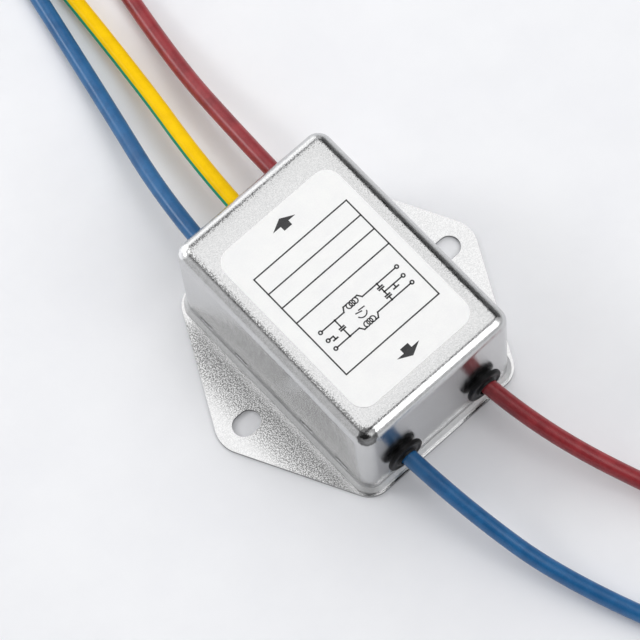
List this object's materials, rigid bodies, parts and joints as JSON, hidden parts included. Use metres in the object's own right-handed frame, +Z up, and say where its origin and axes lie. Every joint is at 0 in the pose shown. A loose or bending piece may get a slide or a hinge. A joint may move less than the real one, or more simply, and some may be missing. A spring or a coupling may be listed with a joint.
{
  "type": "emi line filter",
  "caption": "Line filter in a drawn steel can on a plate with slotted mounting ears, with insulated leads through bushings at both ends and its choke, capacitors and board inside.",
  "frame": {"origin": "centre of the underside, on the mounting surface, below the middle of the can (bottom centre of the box of the rigid parts, leads left out)", "axes": "+X across the can towards one mounting ear, +Y towards the line side with its three leads, +Z up"},
  "size_m": [0.0768, 0.2318, 0.0306],
  "materials": {
    "can_steel": "bright tin plated steel sheet",
    "plate_steel": "tin plated steel sheet with a fine orange peel",
    "label_film": "white polyester label film, satin",
    "bushing_plastic": "black moulded nylon",
    "lead_blue": "satin PVC insulation",
    "lead_red": "satin PVC insulation",
    "lead_earth": "satin PVC insulation with a green stripe",
    "tinned_strands": "tinned copper strands, twisted",
    "tinned_brass": "tinned brass",
    "board_laminate": "glass epoxy laminate, satin",
    "potting_resin": "cast resin, smooth",
    "ferrite": "sintered ferrite, matte",
    "enamelled_copper": "enamelled copper wire, glossy",
    "divider_plastic": "moulded nylon",
    "x_capacitor_case": "moulded polyester case",
    "y_capacitor_case": "moulded polyester case",
    "resistor_body": "glazed chip body",
    "liner_film": "polyester film, translucent"
  },
  "bodies": {
    "root": {"can_shell": "can_steel", "base_plate": "plate_steel", "label_film": "label_film", "earth_strap": "tinned_brass", "circuit_board": "board_laminate", "potting_compound": "potting_resin", "choke_core": "ferrite", "choke_winding_live": "enamelled_copper", "choke_winding_neutral": "enamelled_copper", "choke_divider": "divider_plastic", "x_capacitor": "x_capacitor_case", "y_capacitor_neutral": "y_capacitor_case", "y_capacitor_live": "y_capacitor_case", "bleed_resistor": "resistor_body", "insulating_liner": "liner_film", "line_neutral_bushing": "bushing_plastic", "line_neutral_lead": "lead_blue", "line_neutral_stripped_end": "tinned_strands", "line_neutral_post": "tinned_brass", "earth_bushing": "bushing_plastic", "earth_lead": "lead_earth", "earth_stripped_end": "tinned_strands", "earth_post": "tinned_brass", "line_live_bushing": "bushing_plastic", "line_live_lead": "lead_red", "line_live_stripped_end": "tinned_strands", "line_live_post": "tinned_brass", "load_neutral_bushing": "bushing_plastic", "load_neutral_lead": "lead_blue", "load_neutral_stripped_end": "tinned_strands", "load_neutral_post": "tinned_brass", "load_live_bushing": "bushing_plastic", "load_live_lead": "lead_red", "load_live_stripped_end": "tinned_strands", "load_live_post": "tinned_brass"}
  },
  "joints": []
}
